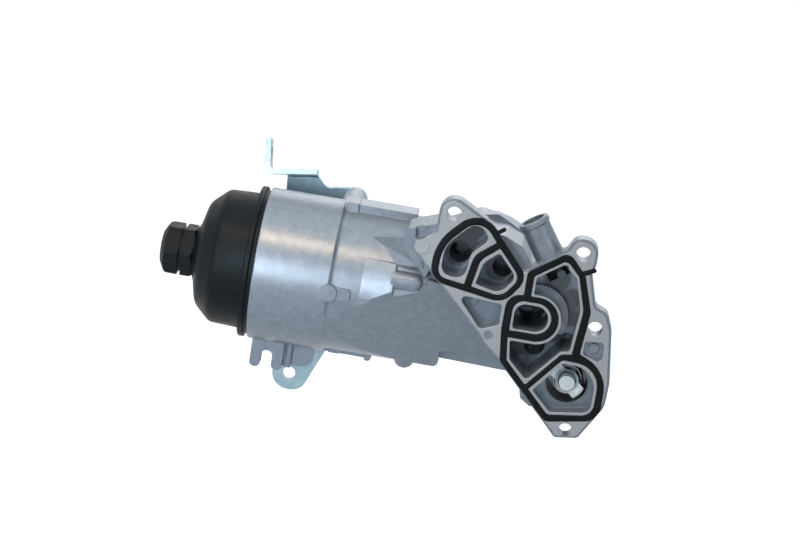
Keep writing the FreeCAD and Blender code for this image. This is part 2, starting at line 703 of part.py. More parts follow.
def chamber_cuts():
    cuts = []
    for outline in (CHAMBER_ONE, CHAMBER_TWO):
        cuts.append(slab(outline, -1, CHAMBER_DEPTH))
    cuts.append(rod_y(PORT_ONE, PORT_ONE_R, 5, PORT_BACK_Y))
    cuts.append(rod_y(PORT_TWO, PORT_TWO_R, 5, PORT_BACK_Y))
    cuts.append(slab(POCKET_THREE, -1, POCKET_DEPTH))
    cuts.append(slab(POCKET_C, -1, 2.6))
    cuts.append(slab(D_PORT, -1, D_PORT_DEPTH))
    cuts.append(slab(CHAMBER_SIX, -1, THERMO_FLOOR_Y))
    cuts.append(rod_y((THERMO_X, THERMO_Z), THERMO_BORE_R, 0, THERMO_BORE_DEPTH))
    return cuts


def chamber_five_cut():
    """The large chamber: deep below, shallow above, with a shelf round the wall of the D-shaped port."""
    deep_top_z = -59.5
    whole = slab(CHAMBER_FIVE, -1, DEEP_DEPTH)
    floor = box(45, 80, SHALLOW_DEPTH, DEEP_DEPTH + 1, deep_top_z, -10)
    shelf = rod_y(D_CENTRE, D_WALL_R + SHELF_W, SHELF_DEPTH, DEEP_DEPTH + 1)
    shelf = shelf.common(box(50, 80, 0, DEEP_DEPTH + 1, deep_top_z, -20))
    return whole.cut([floor, shelf])


def marks():
    """Round ejector and dowel pads standing in the pockets."""
    pads = []
    pads.append(rod_y(*POCKET_MARK, POCKET_DEPTH - MARK_HEIGHT, POCKET_DEPTH + 1))
    pads.append(rod_y(*SIDE_MARK, *SIDE_MARK_Y))
    pads.append(rod_y(*CHAMBER_MARK, SHALLOW_DEPTH - MARK_HEIGHT, SHALLOW_DEPTH + 1))
    return pads


def passages():
    """Bores that join the chambers, the bowl, the stand pipe seat, the nozzle and the cooler."""
    cuts = []
    cuts.append(rod(vec(PORT_ONE[0], PORT_BACK_Y - 6, PORT_ONE[1]), vec(-20, AXIS_Y, AXIS_Z + 14), 5.0))
    cuts.append(rod_x(BOWL_END_X - 1, PIPE_SEAT_X, PIPE_R))
    cuts.append(rod_x(PIPE_SEAT_X - 1, 52, 7.5))
    cuts.append(rod_y((51, -53), 7.0, D_PORT_DEPTH - 1, AXIS_Y + 2))
    axis = nozzle_axis()
    mouth = vec(*NOZZLE_MOUTH)
    cuts.append(rod(mouth + axis, mouth - axis * (NOZZLE_LEN + 5), NOZZLE_BORE_R))
    cuts.append(rod_y(OIL_PORT, COOLER_PORT_R, AXIS_Y, BLOCK_BACK_Y + 1))
    cuts.append(rod_y(COOLANT_PORT, COOLER_PORT_R, DEEP_DEPTH - 4, BLOCK_BACK_Y + 1))
    return cuts


def bowl_cut():
    return turned([
        (RIM_X - 1, 0, 0), (RIM_X - 1, THREAD_BORE_R + BOWL_MOUTH_CHAMFER, 0),
        (RIM_X, THREAD_BORE_R + BOWL_MOUTH_CHAMFER, 0), (RIM_X + BOWL_MOUTH_CHAMFER, THREAD_BORE_R, 0),
        (RIM_X + THREAD_DEPTH, THREAD_BORE_R, 0), (RIM_X + THREAD_DEPTH + THREAD_STEP, BOWL_R, 0),
        (BOWL_NARROW_X - BOWL_NARROW_LEN, BOWL_R, 3.0), (BOWL_NARROW_X, BOWL_REAR_R, 3.0),
        (BOWL_END_X, BOWL_REAR_R, BOWL_END_ROUND), (BOWL_END_X, 0, 0),
    ])


def bolt_cuts():
    cuts = []
    for hole, radius in ((HOLE_A, BOLT_R), (HOLE_B, BOLT_R), (HOLE_C, BOLT_R), (HOLE_D, LOW_BOLT_R)):
        cuts.append(rod_y(hole, radius, -1, FLANGE_T + 1))
        cuts.append(rod_y(hole, radius + 3.6, FLANGE_T, AXIS_Y + 20))
    return cuts


def cooler_screw_places():
    places = []
    for x in (COOLER_X0 + COOLER_SCREW_IN, COOLER_X1 - COOLER_SCREW_IN):
        for z in (COOLER_Z0 + COOLER_SCREW_UP, COOLER_Z1 - COOLER_SCREW_UP):
            places.append((x, z))
    return places


def housing_casting():
    body = casting_outside()
    cuts = [bowl_cut(), chamber_five_cut()] + chamber_cuts() + passages() + bolt_cuts()
    cuts.append(seal_groove(SEAL_ONE, [LIP_ONE, LIP_TWO]))
    cuts.append(seal_groove(SEAL_TWO, [LIP_FIVE, LIP_D, LIP_SIX]))
    cuts.append(tab(TAB_ONE, -1.0, TAB_DEEP, SEAL_CLEAR))
    cuts.append(tab(TAB_TWO, -1.0, TAB_DEEP, SEAL_CLEAR))
    cuts.append(slab(CORNER_POCKET, -1.0, CORNER_POCKET_DEPTH))
    cuts.append(rod_y(FACE_MARK, FACE_MARK_R, -1.0, FACE_MARK_DEPTH))
    for centre in BRACKET_SCREWS:
        cuts.append(rod_y(centre, BRACKET_SCREW_R, BRACKET_Y - SCREW_DEPTH - 1, BRACKET_Y + 1))
    for centre in cooler_screw_places():
        cuts.append(rod_y(centre, COOLER_SCREW_R, BLOCK_BACK_Y - COOLER_SCREW_DEPTH - 1, BLOCK_BACK_Y + 1))
    return body.cut(cuts).fuse(marks()).removeSplitter()


def face_seal(outer, lips, tab_ends):
    band = slab(outer, -SEAL_PROUD, GROOVE_DEPTH)
    band = join(band, [tab(tab_ends, -SEAL_PROUD, TAB_DEEP)])
    for lip in lips:
        band = band.cut(slab(lip, -SEAL_PROUD - 1, GROOVE_DEPTH + 1))
    return band


def screw_cap():
    r_spigot = THREAD_BORE_R - CAP_THREAD_CLEAR
    seat_x = RIM_X - CAP_SEAT_GAP
    outside = turned([
        (CAP_SPIGOT_X, 0, 0), (CAP_SPIGOT_X, r_spigot, 0.8), (seat_x, r_spigot, 0), (seat_x, CAP_NECK_R, 0),
        (CAP_COLLAR_X1, CAP_NECK_R, 0), (CAP_COLLAR_X1, CAP_COLLAR_R, 0.5), (CAP_COLLAR_X0, CAP_COLLAR_R, 0.5),
        (CAP_COLLAR_X0, CAP_DOME_R + COLLAR_STEP, 0.5),
        (CAP_DOME_X + DOME_SHOULDER_OUT, CAP_DOME_R, DOME_SHOULDER_ROUND),
        (CAP_DOME_X - DOME_SLOPE_LEN, CAP_DOME_R - DOME_SLOPE_IN, DOME_SLOPE_ROUND),
        (CAP_HEX_X + 2.0, HEX_NECK_R + NECK_FLARE, NECK_FLARE_ROUND),
        (CAP_HEX_X, HEX_NECK_R, 1.0), (CAP_HEX_X - 2, HEX_NECK_R, 0), (CAP_HEX_X - 2, 0, 0),
    ])
    inner_r = r_spigot - CAP_WALL
    inside = turned([
        (CAP_SPIGOT_X + 1, 0, 0), (CAP_SPIGOT_X + 1, inner_r, 0), (CAP_DOME_X + 3, inner_r, 6.0),
        (CAP_DOME_X - 5.5, CAP_DOME_R - 11.7, 8.0), (CAP_HEX_X + 4.5, 12.0, 3.0), (CAP_HEX_X + 4.5, 0, 0),
    ])
    groove_r = r_spigot - 2 * O_RING_WIRE_R + 0.3
    groove = turned([
        (O_RING_X - O_RING_GROOVE_HALF, groove_r, 0.3), (O_RING_X - O_RING_GROOVE_HALF, r_spigot + 1, 0),
        (O_RING_X + O_RING_GROOVE_HALF, r_spigot + 1, 0), (O_RING_X + O_RING_GROOVE_HALF, groove_r, 0.3),
    ])
    cap = outside.cut([inside, groove])
    return join(cap, [hex_grip(), claw_ring()])


def hex_grip():
    """Hexagon for the wrench with a domed end, a bead ring and a groove."""
    corner_r = HEX_FLATS / math.sqrt(3)
    points = []
    for i in range(7):
        angle = math.radians(60 * i)
        points.append(vec(CAP_END_X, AXIS_Y + corner_r * math.cos(angle), AXIS_Z + corner_r * math.sin(angle)))
    prism = Part.Face(Part.makePolygon(points)).extrude(vec(CAP_HEX_X - CAP_END_X, 0, 0))
    envelope = turned([
        (CAP_END_X, 0, 0), (CAP_END_X, HEX_FACE_R, HEX_CROWN_ROUND),
        (CAP_END_X + HEX_CROWN_LEN, corner_r - 0.4, 3.0), (CAP_HEX_X - 1.0, corner_r - 0.2, 1.0),
        (CAP_HEX_X, corner_r - HEX_SHOULDER_IN, 0), (CAP_HEX_X, 0, 0),
    ])
    grip = prism.common(envelope)
    groove_x = CAP_HEX_X - HEX_LEN / 3
    groove = turned([
        (groove_x, HEX_NECK_R - 0.4, 0), (groove_x, corner_r + 2, 0),
        (groove_x - HEX_GROOVE_W, corner_r + 2, 0), (groove_x - HEX_GROOVE_W, HEX_NECK_R - 0.4, 0),
    ])
    return grip.cut(groove)


def claw_ring():
    """Snap claws inside the cap that hold the end disc of the element."""
    root_x = CAP_HEX_X + 4.0
    tip_x = ELEMENT_X0 - RUN_FIT
    ring = turned([
        (root_x, CLAW_R - CLAW_WALL, 0), (root_x, CLAW_R, 0), (tip_x, CLAW_R, 0.4),
        (tip_x, CLAW_R - CLAW_WALL, 0.4),
    ])
    for i in range(CLAW_COUNT // 2):
        gap = box(root_x + 4, tip_x + 1, -CLAW_R - 2, CLAW_R + 2, -CLAW_GAP_HALF, CLAW_GAP_HALF)
        gap.rotate(vec(0, 0, 0), vec(1, 0, 0), 360 / CLAW_COUNT * i)
        gap.translate(vec(0, AXIS_Y, AXIS_Z))
        ring = ring.cut(gap)
    return ring


def cap_o_ring():
    major = THREAD_BORE_R - 0.06 - O_RING_WIRE_R
    ring = Part.makeTorus(major, O_RING_WIRE_R, vec(O_RING_X, AXIS_Y, AXIS_Z), vec(1, 0, 0))
    return ring


def filter_media():
    """Pleated paper: one folded band with as many folds as PLEATS."""
    x0 = ELEMENT_X0 + END_DISC_T
    x1 = ELEMENT_X1 - END_DISC_T
    r_out = ELEMENT_R - MEDIA_INSET
    r_in = CORE_OUTER_R + PLEAT_INNER_GAP
    outer = []
    inner = []
    for i in range(2 * PLEATS):
        angle = math.pi * i / PLEATS
        radius = r_out if i % 2 == 0 else r_in
        outer.append((radius * math.cos(angle), radius * math.sin(angle)))
        inset = radius - PAPER_T * 1.9 if i % 2 == 0 else radius - PAPER_T * 0.9
        inner.append((inset * math.cos(angle), inset * math.sin(angle)))
    faces = []
    for ring in (outer, inner):
        points = [vec(x0, AXIS_Y + p[0], AXIS_Z + p[1]) for p in ring + ring[:1]]
        faces.append(Part.Face(Part.makePolygon(points)).extrude(vec(x1 - x0, 0, 0)))
    return faces[0].cut(faces[1])


def element_core():
    """Perforated tube that carries the paper."""
    x0 = ELEMENT_X0 + END_DISC_T
    x1 = ELEMENT_X1 - END_DISC_T
    r_out = CORE_OUTER_R
    tube = rod_x(x0, x1, r_out).cut(rod_x(x0 - 1, x1 + 1, r_out - CORE_WALL))
    pitch = (x1 - x0) / CORE_SLOT_ROWS
    for row in range(CORE_SLOT_ROWS):
        middle = x0 + pitch * (row + 0.5)
        for turn in range(2):
            slot = box(middle - CORE_SLOT_LEN / 2, middle + CORE_SLOT_LEN / 2, -r_out - 1, r_out + 1,
                       -CORE_SLOT_W / 2, CORE_SLOT_W / 2)
            slot.rotate(vec(0, 0, 0), vec(1, 0, 0), 90 * turn + 45 * (row % 2))
            slot.translate(vec(0, AXIS_Y, AXIS_Z))
            tube = tube.cut(slot)
    return tube


def element_end_disc_cap_side():
    x0 = ELEMENT_X0
    x1 = x0 + END_DISC_T
    return rod_x(x0, x1, ELEMENT_R).cut(rod_x(x0 - 1, x1 + 1, CAP_DISC_HOLE_R))


def element_end_disc_bowl_side():
    """End disc with the short collar that seals on the stand pipe."""
    x1 = ELEMENT_X1
    x0 = x1 - END_DISC_T
    hole = rod_x(x0 - COLLAR_LEN - 1, x1 + 1, PIPE_R + CORE_CLEAR)
    disc = rod_x(x0, x1, ELEMENT_R)
    collar = rod_x(x0 - COLLAR_LEN, x0 + 1, PIPE_R + COLLAR_WALL)
    return join(disc, [collar]).cut(hole)


def stand_pipe():
    """Pipe in the middle of the bowl with slots, closed toward the cap by the bypass valve seat."""
    inner_r = PIPE_R - PIPE_WALL
    outside = rod_x(PIPE_END_X, PIPE_SEAT_X, PIPE_R)
    inside = rod_x(PIPE_END_X + BYPASS_SEAT_T, PIPE_SEAT_X + 1, inner_r)
    seat_hole = rod_x(PIPE_END_X - 1, PIPE_END_X + BYPASS_SEAT_T + 1, BYPASS_DISC_R - 2.2)
    pipe = outside.cut([inside, seat_hole])
    for i in range(PIPE_SLOTS // 2):
        slot = box(PIPE_END_X + PIPE_SLOT_START, BOWL_END_X - PIPE_SLOT_STOP, -PIPE_R - 1, PIPE_R + 1,
                   -PIPE_SLOT_W / 2, PIPE_SLOT_W / 2)
        slot.rotate(vec(0, 0, 0), vec(1, 0, 0), 45 + 180 / (PIPE_SLOTS // 2) * i)
        slot.translate(vec(0, AXIS_Y, AXIS_Z))
        pipe = pipe.cut(slot)
    return pipe


def bypass_disc_x():
    return PIPE_END_X + BYPASS_SEAT_T


def bypass_valve_disc():
    x0 = bypass_disc_x()
    disc = rod_x(x0, x0 + BYPASS_DISC_T, BYPASS_DISC_R)
    stem_end = x0 + BYPASS_DISC_T + BYPASS_SPRING_LEN - BYPASS_LIFT - 2.0
    stem = rod_x(x0, stem_end, BYPASS_SPRING_R - BYPASS_WIRE - 0.6)
    return join(disc, [stem])


def bypass_spring_x():
    return bypass_disc_x() + BYPASS_DISC_T


def coil_spring(radius, wire, length, turns):
    """Coil spring along Z from facets: a ring of points carried round and up, skinned with triangles."""
    steps = SPRING_STEPS * turns
    sides = SPRING_SIDES
    rings = []
    for i in range(steps + 1):
        turn = 2 * math.pi * i / SPRING_STEPS
        ring = []
        for k in range(sides):
            around = 2 * math.pi * k / sides
            r = radius + wire / 2 * math.cos(around)
            z = length * i / steps + wire / 2 * math.sin(around)
            ring.append(vec(r * math.cos(turn), r * math.sin(turn), z))
        rings.append(ring)
    faces = [Part.Face(Part.makePolygon(rings[0] + rings[0][:1])),
             Part.Face(Part.makePolygon(rings[-1] + rings[-1][:1]))]
    for i in range(steps):
        for k in range(sides):
            a, b = rings[i][k], rings[i][(k + 1) % sides]
            c, d = rings[i + 1][(k + 1) % sides], rings[i + 1][k]
            faces.append(Part.Face(Part.makePolygon([a, b, c, a])))
            faces.append(Part.Face(Part.makePolygon([a, c, d, a])))
    return Part.Solid(Part.Shell(faces))


def bypass_spring():
    length = BYPASS_SPRING_LEN - BYPASS_WIRE - 0.2
    spring = coil_spring(BYPASS_SPRING_R, BYPASS_WIRE, length, BYPASS_TURNS)
    spring.rotate(vec(0, 0, 0), vec(0, 1, 0), 90)
    spring.translate(vec(bypass_spring_x() + BYPASS_WIRE / 2 + 0.1, AXIS_Y, AXIS_Z))
    return spring


def bypass_spring_holder():
    """Cross-shaped holder pressed in the stand pipe that backs the bypass spring."""
    x0 = bypass_spring_x() + BYPASS_SPRING_LEN
    inner_r = PIPE_R - PIPE_WALL
    ring = rod_x(x0, x0 + 3, inner_r).cut(rod_x(x0 - 1, x0 + 4, inner_r - 1.6))
    hub = rod_x(x0, x0 + 1.5, BYPASS_SPRING_R + 1)
    bar = box(x0, x0 + 1.5, -inner_r + 0.6, inner_r - 0.6, -1.5, 1.5)
    bars = [hub]
    for turn in (0, 90):
        arm = bar.copy()
        arm.rotate(vec(0, 0, 0), vec(1, 0, 0), turn)
        arm.translate(vec(0, AXIS_Y, AXIS_Z))
        bars.append(arm)
    return join(ring, bars)


def thermostat_frame():
    """Seat plate at the bottom of the bore, two curved legs and the dished hoop round the capsule."""
    centre = (THERMO_X, THERMO_Z)
    plate_y1 = THERMO_PLATE_Y + THERMO_PLATE_T
    plate = rod_y(centre, THERMO_BORE_R - 0.05, THERMO_PLATE_Y, plate_y1)
    plate = plate.cut(rod_y(centre, THERMO_DISC_R - 1.5, THERMO_PLATE_Y - 1, plate_y1 + 1))
    hoop_y = CAPSULE_END_Y + 4
    leg_r = SPRING_TOP_R + SPRING_WIRE / 2 + RUN_FIT + FRAME_SHEET
    hoop = turned_y([
        (CAPSULE_R + RUN_FIT, hoop_y + 1.4, 0), (leg_r, hoop_y, 0), (leg_r, hoop_y + FRAME_SHEET, 0),
        (CAPSULE_R + RUN_FIT, hoop_y + 1.4 + FRAME_SHEET, 0),
    ], centre)
    sleeve = rod_y(centre, leg_r, hoop_y, THERMO_PLATE_Y + 0.2)
    sleeve = sleeve.cut(rod_y(centre, leg_r - FRAME_SHEET, hoop_y - 1, THERMO_PLATE_Y + 1))
    reach = 14.0
    half = 4.2
    legs = []
    for side in (1, -1):
        window = box(0, reach * side, 0, THERMO_PLATE_Y + 5, -half, half) if side > 0 else box(
            -reach, 0, 0, THERMO_PLATE_Y + 5, -half, half)
        window.rotate(vec(0, 0, 0), vec(0, 1, 0), 38)
        window.translate(vec(THERMO_X, 0, THERMO_Z))
        legs.append(sleeve.common(window))
        hoop_part = hoop.common(window)
        legs.append(hoop_part)
    inner_hoop = hoop.common(rod_y(centre, CAPSULE_R + RUN_FIT + 1.6, 0, 40))
    return join(plate, legs + [inner_hoop])


def thermostat_valve():
    """Wax capsule with the valve disc at its far end; it slides toward the engine as the oil warms."""
    centre = (THERMO_X, THERMO_Z)
    disc_y = THERMO_PLATE_Y - RUN_FIT
    hub_r = THERMO_DISC_R - DISC_RIM
    seat_r = SPRING_TOP_R + SPRING_SEAT_WIDER
    return turned_y([
        (0, CAPSULE_END_Y, 0), (CAPSULE_R, CAPSULE_END_Y, 0.8), (CAPSULE_R, disc_y - CAPSULE_LEN_BEHIND, 0),
        (hub_r, disc_y - CAPSULE_LEN_BEHIND, 0.5), (hub_r, disc_y - DISC_T, 0),
        (seat_r, disc_y - DISC_T, 0.2), (seat_r, disc_y, 0.2), (0, disc_y, 0),
    ], centre)


def thermostat_spring():
    y0 = CAPSULE_END_Y + 4 + 1.4 + FRAME_SHEET
    y1 = THERMO_PLATE_Y - RUN_FIT - DISC_T
    length = y1 - y0 - SPRING_WIRE - 0.2
    spring = coil_spring(SPRING_TOP_R - 0.4, SPRING_WIRE, length, SPRING_TURNS)
    spring.rotate(vec(0, 0, 0), vec(1, 0, 0), -90)
    spring.translate(vec(THERMO_X, y0 + SPRING_WIRE / 2 + 0.1, THERMO_Z))
    return spring


def bent_strip():
    """Strip and ear in one bent sheet: the strip runs over the web's top and the ear turns up at its end."""
    rise = math.radians(STRIP_RISE)
    lean = math.radians(EAR_LEAN)
    run = (-math.cos(rise), -math.sin(rise))
    up = (-math.sin(lean), math.cos(lean))
    end_x, end_z = STRIP_END
    corner = (end_x + run[0] * STRIP_LEN, end_z + run[1] * STRIP_LEN)
    side = (math.cos(lean), math.sin(lean))
    outer = (corner[0] - (side[0] + up[0]) * SHEET, corner[1] - (side[1] + up[1]) * SHEET)
    inner_len = EAR_LEN - SHEET
    outline = [
        (end_x, end_z, 0.6), (corner[0], corner[1], BEND_R),
        (corner[0] + up[0] * inner_len, corner[1] + up[1] * inner_len, 0.4),
        (outer[0] + up[0] * EAR_LEN, outer[1] + up[1] * EAR_LEN, 0.4),
        (outer[0], outer[1], BEND_R + SHEET), (end_x, end_z - SHEET, 0.6),
    ]
    y1 = BRACKET_Y + SHEET
    sheet = slab(outline, y1 - TAB_DEPTH, y1)
    sheet.translate(vec(0, 0, -STRIP_DIP))
    across = vec(side[0], 0, side[1])
    middle = vec(outer[0] + up[0] * EAR_HOLE_UP, y1 - TAB_DEPTH / 2, outer[1] + up[1] * EAR_HOLE_UP - STRIP_DIP)
    hole = rod(middle - across * SHEET, middle + across * (SHEET * 3), TAB_HOLE_R)
    sheet = sheet.cut(hole)
    sheet.rotate(vec(0, y1, end_z - SHEET - STRIP_DIP), vec(1, 0, 0), -STRIP_TILT)
    return sheet


def steel_bracket():
    """Pressed sheet bracket behind the bowl: flat web, lobe with a bolt hole, bend, strip and ear."""
    lobe_x, lobe_z = BRACKET_HOLE
    end_x, end_z = STRIP_END
    slope = math.tan(math.radians(STRIP_RISE))
    neck_x0 = end_x - NECK_W
    neck_z = end_z - SHEET - STRIP_DIP
    outline = [
        (neck_x0, neck_z - slope * NECK_W, 0.5), (neck_x0 + 1.5, -40.0, 6.0), (-94.0, -100.0, 8.0),
        (lobe_x - BRACKET_LOBE_R, lobe_z + 15.4, 6.0), (lobe_x - BRACKET_LOBE_R, lobe_z - BRACKET_LOBE_R, 9.9),
        (lobe_x + 8.0, lobe_z - BRACKET_LOBE_R, 9.0), (-62.0, -112.0, 10.0), (-53.0, -94.0, 8.0),
        (-53.0, -15.0, 7.0), (-61.5, -15.8, 6.0), (-78.0, -18.6, 6.0), (end_x, neck_z, 0.5),
    ]
    y1 = BRACKET_Y + SHEET
    web = slab(outline, BRACKET_Y, y1)
    cuts = [rod_y(BRACKET_HOLE, BRACKET_HOLE_R, BRACKET_Y - 1, y1 + 1)]
    for centre in BRACKET_SCREWS:
        cuts.append(rod_y(centre, BRACKET_SCREW_R + SCREW_CLEAR, BRACKET_Y - 1, y1 + 1))
    web = web.cut(cuts)
    return join(web, [bent_strip(), bend_fillet(neck_x0, end_x)])


def bend_fillet(x0, x1):
    """Inside of the bend between the web and the strip over it."""
    z_right = STRIP_END[1] - SHEET - STRIP_DIP + 0.8
    corner = [vec(x1, BRACKET_Y - BEND_R, z_right), vec(x1, BRACKET_Y + 0.5, z_right),
              vec(x1, BRACKET_Y + 0.5, z_right - BEND_R)]
    middle = vec(x1, BRACKET_Y - BEND_R * 0.29, z_right - BEND_R * 0.29)
    edges = [Part.LineSegment(corner[0], corner[1]).toShape(), Part.LineSegment(corner[1], corner[2]).toShape(),
             Part.Arc(corner[2], middle, corner[0]).toShape()]
    drop = math.tan(math.radians(STRIP_RISE)) * (x1 - x0)
    return Part.Face(Part.Wire(edges)).extrude(vec(x0 - x1, 0, -drop))


def bracket_screws():
    screws = []
    for centre in BRACKET_SCREWS:
        head_y = BRACKET_Y + SHEET
        shank = rod_y(centre, BRACKET_SCREW_R, BRACKET_Y - SCREW_DEPTH, head_y + 1)
        washer = rod_y(centre, WASHER_R, head_y, head_y + WASHER_T)
        corner = SCREW_HEX_FLATS / math.sqrt(3)
        points = []
        for i in range(7):
            angle = math.radians(60 * i)
            points.append(vec(centre[0] + corner * math.cos(angle), head_y + WASHER_T,
                              centre[1] + corner * math.sin(angle)))
        head = Part.Face(Part.makePolygon(points)).extrude(vec(0, SCREW_HEAD_H, 0))
        screws.append(join(shank, [washer, head]))
    return Part.makeCompound(screws)


def cooler_outline():
    r = COOLER_ROUND
    return [(COOLER_X0, COOLER_Z0, r), (COOLER_X0, COOLER_Z1, r), (COOLER_X1, COOLER_Z1, r),
            (COOLER_X1, COOLER_Z0, r)]


def cooler_base_plate():
    plate = slab(cooler_outline(), BLOCK_BACK_Y, BLOCK_BACK_Y + COOLER_BASE_T)
    cuts = []
    for centre in (OIL_PORT, COOLANT_PORT):
        cuts.append(rod_y(centre, COOLER_PORT_R, BLOCK_BACK_Y - 1, BLOCK_BACK_Y + 5))
    for centre in cooler_screw_places():
        cuts.append(rod_y(centre, COOLER_SCREW_R + HOLE_CLEAR, BLOCK_BACK_Y - 1, BLOCK_BACK_Y + 5))
    return plate.cut(cuts)


def cooler_core():
    """Stack of brazed cooler plates with stepped edges, narrower than the base so the screws stay free."""
    y = BLOCK_BACK_Y + COOLER_BASE_T
    x0, x1 = COOLER_X0 + COOLER_SIDE, COOLER_X1 - COOLER_SIDE
    z0, z1 = COOLER_Z0 + COOLER_EDGE, COOLER_Z1 - COOLER_EDGE
    r = COOLER_CORE_ROUND
    lip = COOLER_LIP
    pieces = []
    for i in range(COOLER_PLATES):
        base = y + COOLER_PLATE_PITCH * i
        wide = [(x0, z0, r), (x0, z1, r), (x1, z1, r), (x1, z0, r)]
        narrow = [(x0 + lip, z0 + lip, r), (x0 + lip, z1 - lip, r), (x1 - lip, z1 - lip, r),
                  (x1 - lip, z0 + lip, r)]
        pieces.append(slab(wide, base, base + COOLER_PLATE_PITCH * COOLER_LIP_SHARE))
        pieces.append(slab(narrow, base, base + COOLER_PLATE_PITCH))
    return join(pieces[0], pieces[1:])


def cooler_screws():
    screws = []
    for centre in cooler_screw_places():
        top = BLOCK_BACK_Y + COOLER_BASE_T
        shank = rod_y(centre, COOLER_SCREW_R, BLOCK_BACK_Y - COOLER_SCREW_DEPTH, top + 0.5)
        head = rod_y(centre, COOLER_HEAD_R, top, top + COOLER_HEAD_H)
        socket = rod_y(centre, SOCKET_R, top + COOLER_HEAD_H - SOCKET_DEPTH, top + COOLER_HEAD_H + 1)
        screws.append(join(shank, [head]).cut(socket))
    return Part.makeCompound(screws)


NODES = {
    "housing_casting": housing_casting,
    "small_face_seal": lambda: face_seal(SEAL_ONE, [LIP_ONE, LIP_TWO], TAB_ONE),
    "large_face_seal": lambda: face_seal(SEAL_TWO, [LIP_FIVE, LIP_D, LIP_SIX], TAB_TWO),
    "screw_cap": screw_cap,
    "cap_o_ring": cap_o_ring,
    "filter_media": filter_media,
    "element_core": element_core,
    "element_end_disc_cap_side": element_end_disc_cap_side,
    "element_end_disc_bowl_side": element_end_disc_bowl_side,
    "stand_pipe": stand_pipe,
    "bypass_valve_disc": bypass_valve_disc,
    "bypass_spring": bypass_spring,
    "bypass_spring_holder": bypass_spring_holder,
    "thermostat_frame": thermostat_frame,
    "thermostat_valve": thermostat_valve,
    "thermostat_spring": thermostat_spring,
    "steel_bracket": steel_bracket,
    "bracket_screws": bracket_screws,
    "cooler_base_plate": cooler_base_plate,
    "cooler_core": cooler_core,
    "cooler_screws": cooler_screws,
}

os.makedirs("parts", exist_ok=True)
for name, make in NODES.items():
    shape = make()
    print(name, "solids", len(shape.Solids), "volume", round(shape.Volume), "valid", shape.isValid())
    shape.exportStep("parts/" + name + ".step")
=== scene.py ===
import json
import math
import bpy
from mathutils import Matrix, Vector


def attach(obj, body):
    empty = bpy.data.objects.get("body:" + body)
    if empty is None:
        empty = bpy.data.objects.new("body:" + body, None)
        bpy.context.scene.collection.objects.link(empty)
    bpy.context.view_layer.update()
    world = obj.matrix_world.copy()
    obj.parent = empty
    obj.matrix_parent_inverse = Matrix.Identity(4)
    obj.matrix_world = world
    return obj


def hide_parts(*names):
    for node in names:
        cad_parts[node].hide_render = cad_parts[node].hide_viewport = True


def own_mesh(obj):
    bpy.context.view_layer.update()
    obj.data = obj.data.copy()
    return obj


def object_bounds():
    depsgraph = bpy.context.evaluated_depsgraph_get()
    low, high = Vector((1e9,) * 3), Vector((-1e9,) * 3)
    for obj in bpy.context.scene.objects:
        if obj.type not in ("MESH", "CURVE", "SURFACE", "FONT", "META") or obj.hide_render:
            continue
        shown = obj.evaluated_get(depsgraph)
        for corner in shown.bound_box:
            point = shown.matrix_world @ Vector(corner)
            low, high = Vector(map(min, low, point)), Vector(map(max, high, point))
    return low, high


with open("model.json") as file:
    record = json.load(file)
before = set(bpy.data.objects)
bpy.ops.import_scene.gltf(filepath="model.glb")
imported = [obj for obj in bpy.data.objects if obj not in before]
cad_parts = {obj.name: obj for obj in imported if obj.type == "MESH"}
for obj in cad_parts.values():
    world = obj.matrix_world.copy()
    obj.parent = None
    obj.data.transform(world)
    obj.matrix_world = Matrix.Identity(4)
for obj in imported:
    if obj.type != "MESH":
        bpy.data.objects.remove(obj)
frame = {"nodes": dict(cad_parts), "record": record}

lowAtLoad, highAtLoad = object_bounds()
nodes = frame["nodes"]
mm = 0.001

# The filter axis runs along X through this point
axisY = 46.0 * mm
axisZ = -57.8 * mm


# Materials: a node tree for each finish of the part

def newMaterial(name):
    material = bpy.data.materials.new(name)
    material.use_nodes = True
    tree = material.node_tree
    tree.nodes.clear()
    output = tree.nodes.new("ShaderNodeOutputMaterial")
    shader = tree.nodes.new("ShaderNodeBsdfPrincipled")
    coords = tree.nodes.new("ShaderNodeTexCoord")
    tree.links.new(shader.outputs["BSDF"], output.inputs["Surface"])
    return material, tree, shader, coords.outputs["Object"]


def noise(tree, place, scale, detail, stretch=None):
    if stretch:
        mapping = tree.nodes.new("ShaderNodeMapping")
        mapping.inputs["Scale"].default_value = stretch
        tree.links.new(place, mapping.inputs["Vector"])
        place = mapping.outputs["Vector"]
    node = tree.nodes.new("ShaderNodeTexNoise")
    node.inputs["Scale"].default_value = scale
    node.inputs["Detail"].default_value = detail
    tree.links.new(place, node.inputs["Vector"])
    return node.outputs["Fac"]


def cells(tree, place, scale):
    node = tree.nodes.new("ShaderNodeTexVoronoi")
    node.inputs["Scale"].default_value = scale
    tree.links.new(place, node.inputs["Vector"])
    return node.outputs["Distance"]


def spread(tree, value, low=0.0, high=1.0, fromLow=0.3, fromHigh=0.7):
    node = tree.nodes.new("ShaderNodeMapRange")
    node.inputs["From Min"].default_value = fromLow
    node.inputs["From Max"].default_value = fromHigh
    node.inputs["To Min"].default_value = low
    node.inputs["To Max"].default_value = high
    tree.links.new(value, node.inputs["Value"])
    return node.outputs["Result"]


def calculate(tree, operation, first, second):
    node = tree.nodes.new("ShaderNodeMath")
    node.operation = operation
    for socket, value in zip(node.inputs, (first, second)):
        if isinstance(value, (int, float)):
            socket.default_value = value
        else:
            tree.links.new(value, socket)
    return node.outputs[0]


# A mix node has its sockets by number, because several of them share a name
mixSockets = {"first": 6, "second": 7, "mixed": 2}


